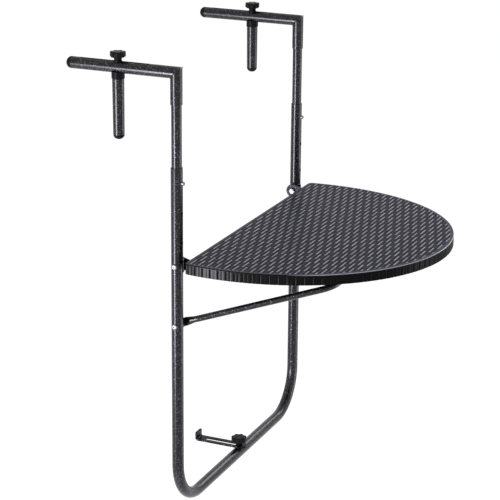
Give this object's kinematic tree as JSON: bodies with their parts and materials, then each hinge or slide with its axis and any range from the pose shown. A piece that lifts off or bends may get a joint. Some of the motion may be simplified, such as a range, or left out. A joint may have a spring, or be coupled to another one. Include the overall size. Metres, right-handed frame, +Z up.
{
  "type": "balcony railing table",
  "caption": "Folding bar table that hooks over a balcony railing: D-shaped top, stay, telescopic tube frame, clamping pegs and a stand-off bar.",
  "frame": {"origin": "midway between the two uprights, at the height where the underside of the hook arms bears on the railing's top", "axes": "+Z up; +Y from the user towards the railing and past it; +X along the railing, to the right of a user who faces the railing"},
  "size_m": [0.61, 0.638, 0.8751],
  "materials": {
    "hammertone": "anthracite hammertone powder coat, semi-gloss",
    "black_plastic": "black moulded plastic, fine satin texture",
    "rattan_plastic": "anthracite moulded plastic with a woven rattan relief",
    "zinc": "bright zinc plate",
    "spring_steel": "bare spring steel"
  },
  "bodies": {
    "hooks": {"hook_arm_left": "hammertone", "upper_rod_left": "hammertone", "arm_end_cap_left": "black_plastic", "button_spring_left": "spring_steel", "hook_arm_right": "hammertone", "upper_rod_right": "hammertone", "arm_end_cap_right": "black_plastic", "button_spring_right": "spring_steel"},
    "frame": {"lower_frame": "hammertone", "bracket_bolts": "zinc", "bracket_nuts": "zinc", "stay_bolts": "zinc", "stay_nuts": "zinc", "stay_washers": "zinc", "stay_spacers": "black_plastic", "rail_boss": "hammertone", "table_bracket_left": "hammertone", "hinge_pin_left": "zinc", "table_bracket_right": "hammertone", "hinge_pin_right": "zinc"},
    "table": {"tabletop": "rattan_plastic", "table_screws": "zinc", "hinge_block_left": "black_plastic", "stay_catch_left": "black_plastic", "hinge_block_right": "black_plastic", "stay_catch_right": "black_plastic"},
    "stay": {"stay": "hammertone"},
    "standoff": {"standoff_bar": "hammertone"},
    "standoff_knob": {"standoff_knob": "black_plastic", "standoff_stud": "zinc"},
    "peg_left": {"peg_collar_left": "black_plastic", "peg_nut_left": "zinc", "peg_tube_left": "hammertone", "peg_cap_left": "black_plastic", "knob_pad_left": "black_plastic"},
    "clamp_knob_left": {"clamp_knob_left": "black_plastic", "clamp_stud_left": "zinc"},
    "snap_button_left": {"snap_button_left": "zinc"},
    "peg_right": {"peg_collar_right": "black_plastic", "peg_nut_right": "zinc", "peg_tube_right": "hammertone", "peg_cap_right": "black_plastic", "knob_pad_right": "black_plastic"},
    "clamp_knob_right": {"clamp_knob_right": "black_plastic", "clamp_stud_right": "zinc"},
    "snap_button_right": {"snap_button_right": "zinc"}
  },
  "joints": [
    {"name": "height", "type": "slide", "parent": "hooks", "child": "frame", "axis": [0, 0, 1], "range_m": [0, 0.112], "deforming": ["snap_button_left", "snap_button_right"]},
    {"name": "table_fold", "type": "hinge", "parent": "frame", "child": "table", "pos_m": [0, -0.021, -0.344], "axis": [1, 0, 0], "range_deg": [0, 90]},
    {"name": "stay_fold", "type": "hinge", "parent": "frame", "child": "stay", "pos_m": [0, 0, -0.459], "axis": [1, 0, 0], "range_deg": [0, 109]},
    {"name": "standoff_slide", "type": "slide", "parent": "frame", "child": "standoff", "axis": [0, 1, 0], "range_m": [-0.07, 0]},
    {"name": "standoff_knob_turn", "type": "hinge", "parent": "frame", "child": "standoff_knob", "pos_m": [0, 0, -0.8], "axis": [0, 0, 1], "continuous": true},
    {"name": "peg_slide_left", "type": "slide", "parent": "hooks", "child": "peg_left", "axis": [0, 1, 0], "range_m": [-0.058, 0.07]},
    {"name": "clamp_knob_turn_left", "type": "hinge", "parent": "peg_left", "child": "clamp_knob_left", "pos_m": [-0.28, 0.115, 0.03], "axis": [0, 0, 1], "continuous": true},
    {"name": "button_press_left", "type": "slide", "parent": "hooks", "child": "snap_button_left", "axis": [0, 1, 0], "range_m": [0, 0.006], "stiffness_N_per_m": 500, "springref_m": -0.004, "deforming": ["button_spring_left"]},
    {"name": "peg_slide_right", "type": "slide", "parent": "hooks", "child": "peg_right", "axis": [0, 1, 0], "range_m": [-0.044, 0.084]},
    {"name": "clamp_knob_turn_right", "type": "hinge", "parent": "peg_right", "child": "clamp_knob_right", "pos_m": [0.28, 0.101, 0.03], "axis": [0, 0, 1], "continuous": true},
    {"name": "button_press_right", "type": "slide", "parent": "hooks", "child": "snap_button_right", "axis": [0, 1, 0], "range_m": [0, 0.006], "stiffness_N_per_m": 500, "springref_m": -0.004, "deforming": ["button_spring_right"]}
  ],
  "couplings": [
    {"joint": "stay_fold", "follows": "table_fold", "ratio": 1.2089}
  ]
}
